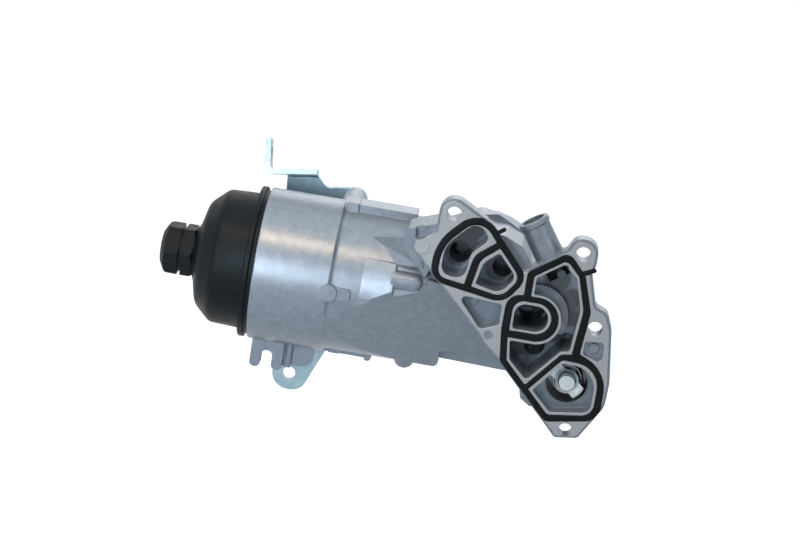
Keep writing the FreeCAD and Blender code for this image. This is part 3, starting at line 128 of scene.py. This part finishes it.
def mixColours(tree, amount, first, second):
    node = tree.nodes.new("ShaderNodeMix")
    node.data_type = "RGBA"
    tree.links.new(amount, node.inputs["Factor"])
    for key, colour in (("first", first), ("second", second)):
        socket = node.inputs[mixSockets[key]]
        if isinstance(colour, tuple):
            socket.default_value = (*colour, 1.0)
        else:
            tree.links.new(colour, socket)
    return node.outputs[mixSockets["mixed"]]


def bump(tree, height, distance, strength, normal=None):
    node = tree.nodes.new("ShaderNodeBump")
    node.inputs["Distance"].default_value = distance
    node.inputs["Strength"].default_value = strength
    tree.links.new(height, node.inputs["Height"])
    if normal:
        tree.links.new(normal, node.inputs["Normal"])
    return node.outputs["Normal"]


def softEdge(tree, radius, samples=6):
    node = tree.nodes.new("ShaderNodeBevel")
    node.samples = samples
    node.inputs["Radius"].default_value = radius
    return node.outputs["Normal"]


# Middle (X, Z) and radius in mm of each round patch of the chambers where shade is painted
# into the casting's colour
paintedShadePatches = (
    (5.2, -25.0, 8.0), (9.0, -17.0, 7.0), (13.5, -12.0, 5.0),
    (29.0, -30.0, 8.5), (51.5, -51.0, 9.0), (62.0, -30.0, 8.0),
    (71.0, -40.0, 7.0), (73.0, -50.0, 6.0), (66.0, -63.0, 7.0),
    (53.0, -70.0, 10.0), (46.0, -73.0, 8.0), (77.0, -86.0, 13.0),
)


# White inside the patches, seen along Y, and black outside them: the mask of the painted
# shade
def paintedShadeMask(tree, place):
    look = {"within": 1.5 * mm, "beyond": 0.5 * mm, "flatten": (1.0, 0.0, 1.0)}
    flat = tree.nodes.new("ShaderNodeMapping")
    flat.inputs["Scale"].default_value = look["flatten"]
    tree.links.new(place, flat.inputs["Vector"])
    mask = 0.0
    for middleX, middleZ, radius in paintedShadePatches:
        distance = tree.nodes.new("ShaderNodeVectorMath")
        distance.operation = "DISTANCE"
        tree.links.new(flat.outputs["Vector"], distance.inputs[0])
        distance.inputs[1].default_value = (middleX * mm, 0.0, middleZ * mm)
        near = spread(tree, distance.outputs["Value"], low=1.0, high=0.0,
                      fromLow=radius * mm - look["within"],
                      fromHigh=radius * mm + look["beyond"])
        mask = calculate(tree, "MAXIMUM", mask, near)
    return mask


def castAluminium():
    look = {
        "pale": (0.222, 0.274, 0.340),
        "dark": (0.176, 0.224, 0.286),
        "pore": (0.09, 0.10, 0.115),
        "milled": (0.345, 0.392, 0.448),
        # The dark colour of the shade painted into the chamber recesses
        "deep": (0.070, 0.082, 0.098),
        "metal": 0.42,
        "edge": 0.7 * mm,
        "faceDepth": 0.3 * mm,
        "patch": {"scale": 260.0, "detail": 7.0},
        "patchSpread": {"fromLow": 0.32, "fromHigh": 0.68},
        "insideSpread": {"fromLow": 4.0 * mm, "fromHigh": 15.0 * mm},
        "frontSpread": {"low": 1.0, "high": 0.0, "fromLow": 33.0 * mm, "fromHigh": 37.0 * mm},
        "poreScale": 300.0,
        "poreSpread": {"low": 1.0, "high": 0.0, "fromLow": 0.05, "fromHigh": 0.18},
        "rare": {"scale": 240.0, "detail": 2.0},
        "rareSpread": {"fromLow": 0.60, "fromHigh": 0.68},
        "gloss": {"scale": 420.0, "detail": 6.0},
        "rough": {"low": 0.31, "high": 0.38},
        "grain": {"scale": 1700.0, "detail": 3.0},
        "grainRelief": {"distance": 0.05 * mm, "strength": 0.5},
        "waves": {"scale": 300.0, "detail": 4.0},
        "wavesRelief": {"distance": 0.08 * mm, "strength": 0.35},
    }
    material, tree, shader, place = newMaterial("sandCastAluminium")
    patch = spread(tree, noise(tree, place, **look["patch"]), **look["patchSpread"])
    body = mixColours(tree, patch, look["pale"], look["dark"])
    split = tree.nodes.new("ShaderNodeSeparateXYZ")
    tree.links.new(place, split.inputs["Vector"])
    depth = split.outputs["Y"]
    # Painted shade: within the patches, the colour darkens towards the painted shade colour
    # from 4 to 15 mm behind the flange face, and lightens again from 33 to 37 mm
    inside = spread(tree, depth, **look["insideSpread"])
    front = spread(tree, depth, **look["frontSpread"])
    between = calculate(tree, "MULTIPLY", inside, front)
    shade = calculate(tree, "MULTIPLY", between, paintedShadeMask(tree, place))
    body = mixColours(tree, shade, body, look["deep"])
    milled = calculate(tree, "LESS_THAN", depth, look["faceDepth"])
    body = mixColours(tree, milled, body, look["milled"])
    pore = spread(tree, cells(tree, place, look["poreScale"]), **look["poreSpread"])
    rare = spread(tree, noise(tree, place, **look["rare"]), **look["rareSpread"])
    colour = mixColours(tree, calculate(tree, "MULTIPLY", pore, rare), body, look["pore"])
    tree.links.new(colour, shader.inputs["Base Color"])
    rough = spread(tree, noise(tree, place, **look["gloss"]), **look["rough"])
    tree.links.new(rough, shader.inputs["Roughness"])
    shader.inputs["Metallic"].default_value = look["metal"]
    rounded = softEdge(tree, look["edge"])
    fine = noise(tree, place, **look["grain"])
    grain = bump(tree, fine, **look["grainRelief"], normal=rounded)
    broad = noise(tree, place, **look["waves"])
    waves = bump(tree, broad, **look["wavesRelief"], normal=grain)
    tree.links.new(waves, shader.inputs["Normal"])
    return material


def mouldedBlack(name, look):
    material, tree, shader, place = newMaterial(name)
    patch = spread(tree, noise(tree, place, **look["patch"]))
    colour = mixColours(tree, patch, look["black"], look["worn"])
    tree.links.new(colour, shader.inputs["Base Color"])
    rough = spread(tree, noise(tree, place, **look["gloss"]), **look["rough"])
    tree.links.new(rough, shader.inputs["Roughness"])
    shader.inputs["Specular IOR Level"].default_value = look["specular"]
    shader.inputs["Specular Tint"].default_value = (*look["sheen"], 1.0)
    rounded = softEdge(tree, look["edge"])
    fine = noise(tree, place, **look["grain"])
    grain = bump(tree, fine, **look["relief"], normal=rounded)
    tree.links.new(grain, shader.inputs["Normal"])
    return material


def pleatPaper():
    look = {
        "cream": (0.74, 0.66, 0.47),
        "amber": (0.60, 0.50, 0.32),
        "rough": 0.85,
        "fibre": {"scale": 900.0, "detail": 4.0, "stretch": (0.25, 1.0, 1.0)},
        "relief": {"distance": 0.05 * mm, "strength": 0.6},
    }
    material, tree, shader, place = newMaterial("resinPaper")
    fibre = noise(tree, place, **look["fibre"])
    colour = mixColours(tree, spread(tree, fibre), look["cream"], look["amber"])
    tree.links.new(colour, shader.inputs["Base Color"])
    shader.inputs["Roughness"].default_value = look["rough"]
    tree.links.new(bump(tree, fibre, **look["relief"]), shader.inputs["Normal"])
    return material


def corePlastic():
    look = {
        "black": (0.040, 0.041, 0.043),
        "grey": (0.065, 0.066, 0.070),
        "flecks": {"scale": 700.0, "detail": 5.0},
        "flecksSpread": {"fromLow": 0.4, "fromHigh": 0.7},
        "gloss": {"scale": 200.0, "detail": 3.0},
        "rough": {"low": 0.45, "high": 0.6},
        "relief": {"distance": 0.02 * mm, "strength": 0.3},
    }
    material, tree, shader, place = newMaterial("glassFilledPlastic")
    flecks = spread(tree, noise(tree, place, **look["flecks"]), **look["flecksSpread"])
    colour = mixColours(tree, flecks, look["black"], look["grey"])
    tree.links.new(colour, shader.inputs["Base Color"])
    rough = spread(tree, noise(tree, place, **look["gloss"]), **look["rough"])
    tree.links.new(rough, shader.inputs["Roughness"])
    tree.links.new(bump(tree, flecks, **look["relief"]), shader.inputs["Normal"])
    return material


# The numbers that all steel finishes share
steelShared = {
    "patchDetail": 5.0,
    "streakDetail": 4.0,
    "fineTimes": 3.0,
    "fineDetail": 2.0,
    "relief": {"distance": 0.01 * mm, "strength": 0.5},
}


def steel(name, look):
    shared = steelShared
    material, tree, shader, place = newMaterial(name)
    patch = spread(tree, noise(tree, place, look["patch"], shared["patchDetail"]))
    colour = mixColours(tree, patch, look["pale"], look["dark"])
    tree.links.new(colour, shader.inputs["Base Color"])
    streaks = noise(tree, place, look["streak"], shared["streakDetail"], look["stretch"])
    tree.links.new(spread(tree, streaks, *look["rough"]), shader.inputs["Roughness"])
    shader.inputs["Metallic"].default_value = look["metal"]
    rounded = softEdge(tree, look["edge"])
    fineScale = look["streak"] * shared["fineTimes"]
    fine = noise(tree, place, fineScale, shared["fineDetail"], look["stretch"])
    grain = bump(tree, fine, **shared["relief"], normal=rounded)
    tree.links.new(grain, shader.inputs["Normal"])
    return material


capLook = {
    "black": (0.0040, 0.0055, 0.0075),
    "worn": (0.0062, 0.0082, 0.0108),
    "sheen": (0.72, 0.90, 1.0),
    "specular": 0.14,
    "edge": 0.5 * mm,
    "patch": {"scale": 60.0, "detail": 4.0},
    "gloss": {"scale": 140.0, "detail": 4.0},
    "rough": {"low": 0.40, "high": 0.52},
    "grain": {"scale": 2600.0, "detail": 2.0},
    "relief": {"distance": 0.02 * mm, "strength": 0.35},
}
rubberLook = {
    "black": (0.005, 0.0065, 0.0085),
    "worn": (0.010, 0.012, 0.015),
    "sheen": (0.80, 0.92, 1.0),
    "specular": 0.12,
    "edge": 0.5 * mm,
    "patch": {"scale": 210.0, "detail": 4.0},
    "gloss": {"scale": 300.0, "detail": 3.0},
    "rough": {"low": 0.38, "high": 0.55},
    "grain": {"scale": 1500.0, "detail": 2.0},
    "relief": {"distance": 0.02 * mm, "strength": 0.4},
}
springLook = {
    "pale": (0.56, 0.60, 0.62),
    "dark": (0.38, 0.42, 0.44),
    "patch": 300.0,
    "streak": 700.0,
    "stretch": (1.0, 1.0, 1.0),
    "rough": (0.22, 0.36),
    "metal": 1.0,
    "edge": 0.15 * mm,
}
brightLook = {
    "pale": (0.54, 0.60, 0.64),
    "dark": (0.36, 0.42, 0.46),
    "patch": 220.0,
    "streak": 500.0,
    "stretch": (1.0, 0.2, 1.0),
    "rough": (0.24, 0.40),
    "metal": 0.95,
    "edge": 0.25 * mm,
}
zincLook = {
    "pale": (0.31, 0.44, 0.51),
    "dark": (0.22, 0.34, 0.41),
    "patch": 260.0,
    "streak": 380.0,
    "stretch": (1.0, 1.0, 0.3),
    "rough": (0.26, 0.40),
    "metal": 0.86,
    "edge": 0.5 * mm,
}
coolerLook = {
    "pale": (0.60, 0.63, 0.66),
    "dark": (0.46, 0.49, 0.52),
    "patch": 120.0,
    "streak": 450.0,
    "stretch": (1.0, 0.3, 1.0),
    "rough": (0.30, 0.46),
    "metal": 0.90,
    "edge": 0.4 * mm,
}

finishes = {
    "cast_aluminium": castAluminium(),
    "cap_plastic": mouldedBlack("mouldedBlackPlastic", capLook),
    "rubber": mouldedBlack("blackSealRubber", rubberLook),
    "filter_paper": pleatPaper(),
    "core_plastic": corePlastic(),
    "spring_steel": steel("springSteel", springLook),
    "bright_steel": steel("brightSteel", brightLook),
    "zinc_steel": steel("zincPlatedSteel", zincLook),
    "cooler_aluminium": steel("brazedAluminium", coolerLook),
}
print("materials made:", len(finishes))


def dressNodes():
    for part in frame["record"]["subparts"]:
        node = nodes[part["node"]]
        node.data.materials.clear()
        node.data.materials.append(finishes[part["material_slot"]])


dressNodes()
print("nodes dressed:", len(nodes))


# Springs and threads, wound from a ring of wire

coilSmoothing = math.radians(40)


def coilPiece(name, look):
    bpy.ops.object.select_all(action="DESELECT")
    bpy.ops.mesh.primitive_circle_add(vertices=look["sides"], radius=look["wire"],
                                      fill_type="NOTHING")
    piece = bpy.context.active_object
    piece.name = name
    bpy.ops.object.mode_set(mode="EDIT")
    bpy.ops.mesh.select_all(action="SELECT")
    bpy.ops.transform.rotate(value=math.pi / 2, orient_axis="X", center_override=(0, 0, 0))
    bpy.ops.transform.resize(value=look["squash"], center_override=(0, 0, 0))
    halfLength = look["pitch"] * look["turns"] / 2
    bpy.ops.transform.translate(value=(look["radius"], 0, -halfLength))
    bpy.ops.object.mode_set(mode="OBJECT")
    winding = piece.modifiers.new("winding", "SCREW")
    winding.axis = "Z"
    winding.angle = 2 * math.pi
    winding.screw_offset = look["pitch"]
    winding.iterations = look["turns"]
    winding.steps = look["steps"]
    winding.render_steps = look["steps"]
    bpy.ops.object.modifier_apply(modifier=winding.name)
    bpy.ops.object.mode_set(mode="EDIT")
    bpy.ops.mesh.select_all(action="SELECT")
    bpy.ops.mesh.fill_holes(sides=0)
    bpy.ops.mesh.normals_make_consistent(inside=False)
    bpy.ops.transform.rotate(value=math.pi / 2, orient_axis=look["turnAbout"],
                             center_override=(0, 0, 0))
    bpy.ops.transform.translate(value=look["place"])
    bpy.ops.object.mode_set(mode="OBJECT")
    bpy.ops.object.shade_smooth_by_angle(angle=coilSmoothing)
    return piece


def finishPiece(piece, body, slot):
    piece.data.materials.clear()
    piece.data.materials.append(finishes[slot])
    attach(piece, body)


# A spring gets a mesh of its own
def pressSpring(piece):
    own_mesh(piece)


thermostatCoil = {
    "wire": 0.65 * mm,
    "sides": 12,
    "squash": (1, 1, 1),
    "radius": 7.8 * mm,
    "pitch": 3.3 * mm,
    "turns": 4,
    "steps": 36,
    "turnAbout": "X",
    "place": (77.0 * mm, 20.75 * mm, -86.0 * mm),
    "joint": "thermostat_lift",
    "along": (0, 1, 0),
    "fixedEnd": (77.0 * mm, 13.5 * mm, -86.0 * mm),
    "keep": 0.64,
}
spring = coilPiece("thermostatCoilSpring", thermostatCoil)
finishPiece(spring, "housing", "spring_steel")
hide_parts("thermostat_spring")
pressSpring(spring)

bypassCoil = {
    "wire": 0.5 * mm,
    "sides": 12,
    "squash": (1, 1, 1),
    "radius": 5.4 * mm,
    "pitch": 2.76 * mm,
    "turns": 5,
    "steps": 32,
    "turnAbout": "Y",
    "place": (-92.0 * mm, axisY, axisZ),
    "joint": "bypass_lift",
    "along": (1, 0, 0),
    "fixedEnd": (-84.6 * mm, axisY, axisZ),
    "keep": 0.72,
}
spring = coilPiece("bypassCoilSpring", bypassCoil)
finishPiece(spring, "housing", "spring_steel")
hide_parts("bypass_spring")
pressSpring(spring)

capThread = {
    "wire": 0.7 * mm,
    "sides": 8,
    "squash": (0.5, 1, 1),
    "radius": 37.9 * mm,
    "pitch": 4.0 * mm,
    "turns": 2,
    "steps": 96,
    "turnAbout": "Y",
    "place": (-94.0 * mm, axisY, axisZ),
}
thread = coilPiece("capScrewThread", capThread)
finishPiece(thread, "cap", "cap_plastic")

bowlThread = {
    "wire": 0.7 * mm,
    "sides": 8,
    "squash": (0.5, 1, 1),
    "radius": 38.3 * mm,
    "pitch": 4.0 * mm,
    "turns": 2,
    "steps": 96,
    "turnAbout": "Y",
    "place": (-92.0 * mm, axisY, axisZ),
}
thread = coilPiece("bowlScrewThread", bowlThread)
finishPiece(thread, "housing", "cast_aluminium")
print("springs and threads wound")


# Seals: a rounded copy takes the place of each square one

def roundedCopy(name, nodeName, look):
    bpy.ops.object.select_all(action="DESELECT")
    source = nodes[nodeName]
    piece = source.copy()
    piece.data = source.data.copy()
    piece.name = name
    bpy.context.collection.objects.link(piece)
    piece.select_set(True)
    bpy.context.view_layer.objects.active = piece
    bpy.ops.object.mode_set(mode="EDIT")
    bpy.ops.mesh.select_all(action="SELECT")
    bpy.ops.mesh.remove_doubles(threshold=look["merge"])
    bpy.ops.mesh.dissolve_limited(angle_limit=look["flatAngle"])
    bpy.ops.object.mode_set(mode="OBJECT")
    rounding = piece.modifiers.new("rounding", "BEVEL")
    rounding.width = look["width"]
    rounding.segments = look["segments"]
    rounding.limit_method = "ANGLE"
    rounding.angle_limit = look["sharpAngle"]
    rounding.use_clamp_overlap = False
    bpy.ops.object.modifier_apply(modifier=rounding.name)
    bpy.ops.object.shade_smooth_by_angle(angle=look["sharpAngle"])
    return piece


sealRounding = {
    "merge": 0.01 * mm,
    "flatAngle": math.radians(1.0),
    "width": 0.55 * mm,
    "segments": 4,
    "sharpAngle": math.radians(50),
}
sealNodes = {"smallRubberSeal": "small_face_seal", "largeRubberSeal": "large_face_seal"}
for pieceName, nodeName in sealNodes.items():
    seal = roundedCopy(pieceName, nodeName, sealRounding)
    finishPiece(seal, "housing", "rubber")
    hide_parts(nodeName)
print("seals rounded")


# Studio: pale floor, white surroundings and soft lamps

def makeWorld():
    look = {"seen": (1.0, 1.0, 1.0), "light": (0.86, 0.94, 1.0), "level": 0.27}
    world = bpy.data.worlds.new("studio")
    world.use_nodes = True
    tree = world.node_tree
    tree.nodes.clear()
    output = tree.nodes.new("ShaderNodeOutputWorld")
    path = tree.nodes.new("ShaderNodeLightPath")
    seen = tree.nodes.new("ShaderNodeBackground")
    seen.inputs["Color"].default_value = (*look["seen"], 1.0)
    light = tree.nodes.new("ShaderNodeBackground")
    light.inputs["Color"].default_value = (*look["light"], 1.0)
    light.inputs["Strength"].default_value = look["level"]
    either = calculate(tree, "MAXIMUM", path.outputs["Is Camera Ray"],
                       path.outputs["Is Glossy Ray"])
    either = calculate(tree, "MAXIMUM", either, path.outputs["Is Transmission Ray"])
    mix = tree.nodes.new("ShaderNodeMixShader")
    tree.links.new(either, mix.inputs["Fac"])
    tree.links.new(light.outputs[0], mix.inputs[1])
    tree.links.new(seen.outputs[0], mix.inputs[2])
    tree.links.new(mix.outputs[0], output.inputs["Surface"])
    bpy.context.scene.world = world


def makeFloor():
    look = {
        "side": 30.0,
        "drop": 0.16,
        "colour": (0.34, 0.35, 0.36),
        "rough": 0.9,
        "shine": (1.0, 1.0, 1.0),
        "glow": 0.88,
    }
    height = lowAtLoad[2] - look["drop"]
    bpy.ops.object.select_all(action="DESELECT")
    bpy.ops.mesh.primitive_plane_add(size=look["side"], location=(0, 0, height))
    floor = bpy.context.active_object
    floor.name = "studioFloor"
    material, tree, shader, place = newMaterial("paleFloor")
    shader.inputs["Base Color"].default_value = (*look["colour"], 1.0)
    shader.inputs["Roughness"].default_value = look["rough"]
    shader.inputs["Emission Color"].default_value = (*look["shine"], 1.0)
    path = tree.nodes.new("ShaderNodeLightPath")
    seen = calculate(tree, "MAXIMUM", path.outputs["Is Camera Ray"],
                     path.outputs["Is Glossy Ray"])
    glow = calculate(tree, "MULTIPLY", seen, look["glow"])
    tree.links.new(glow, shader.inputs["Emission Strength"])
    floor.data.materials.append(material)


# Places, sizes and targets are in metres, and the beam is in degrees
white = (1.0, 1.0, 1.0)
coolWhite = (0.93, 0.97, 1.0)
warmWhite = (1.0, 0.68, 0.42)
skyWhite = (0.95, 0.98, 1.0)
partMiddle = (-0.03, 0.03, -0.06)
openBeam = 180.0

lamps = {
    "frontSoftbox": {
        "place": (-0.19, -0.42, 0.01), "size": (0.12, 0.20), "watts": 0.07,
        "colour": coolWhite, "target": (-0.10, 0.0, -0.055), "beam": 40.0,
    },
    "roomSoftbox": {
        "place": (-0.60, -0.95, 0.50), "size": (0.5, 0.4), "watts": 2.2,
        "colour": coolWhite,
    },
    "warmStrip": {
        "place": (-0.25, -0.42, 0.62), "size": (0.45, 0.03), "watts": 3.2,
        "colour": warmWhite,
    },
    "topSoftbox": {
        "place": (-0.10, 0.05, 0.95), "size": (0.9, 0.4), "watts": 1.2,
        "colour": skyWhite,
    },
    "rightFill": {
        "place": (0.9, -0.8, 0.25), "size": (0.5, 0.6), "watts": 1.1,
        "colour": coolWhite,
    },
    "backRim": {
        "place": (0.2, 1.0, 0.5), "size": (1.0, 0.5), "watts": 3.0,
        "colour": white,
    },
}


def areaLamp(name, place, size, watts, colour, target=partMiddle, beam=openBeam):
    data = bpy.data.lights.new(name, "AREA")
    data.shape = "RECTANGLE"
    data.size, data.size_y = size
    data.energy = watts
    data.color = colour
    data.spread = math.radians(beam)
    lamp = bpy.data.objects.new(name, data)
    bpy.context.collection.objects.link(lamp)
    lamp.location = place
    lamp.rotation_euler = (Vector(place) - Vector(target)).to_track_quat("Z", "Y").to_euler()


def makeCamera():
    view = {
        "lens": 117.0,
        "sensor": 36.0,
        "reach": 20.0,
        "place": (0.02763, -1.38093, 0.32357),
        "right": (0.98470, 0.07769, 0.15596),
        "up": (-0.17035, 0.24119, 0.95541),
        "back": (0.03661, -0.96736, 0.25074),
    }
    data = bpy.data.cameras.new("photoCamera")
    data.sensor_width = view["sensor"]
    data.lens = view["lens"]
    data.clip_end = view["reach"]
    camera = bpy.data.objects.new("photoCamera", data)
    bpy.context.collection.objects.link(camera)
    turn = Matrix((view["right"], view["up"], view["back"])).transposed().to_4x4()
    turn.translation = view["place"]
    camera.matrix_world = turn
    bpy.context.scene.camera = camera


makeWorld()
makeFloor()
for lampName, lampLook in lamps.items():
    areaLamp(lampName, **lampLook)
makeCamera()
bpy.context.scene.view_settings.view_transform = "Standard"
print("studio set")
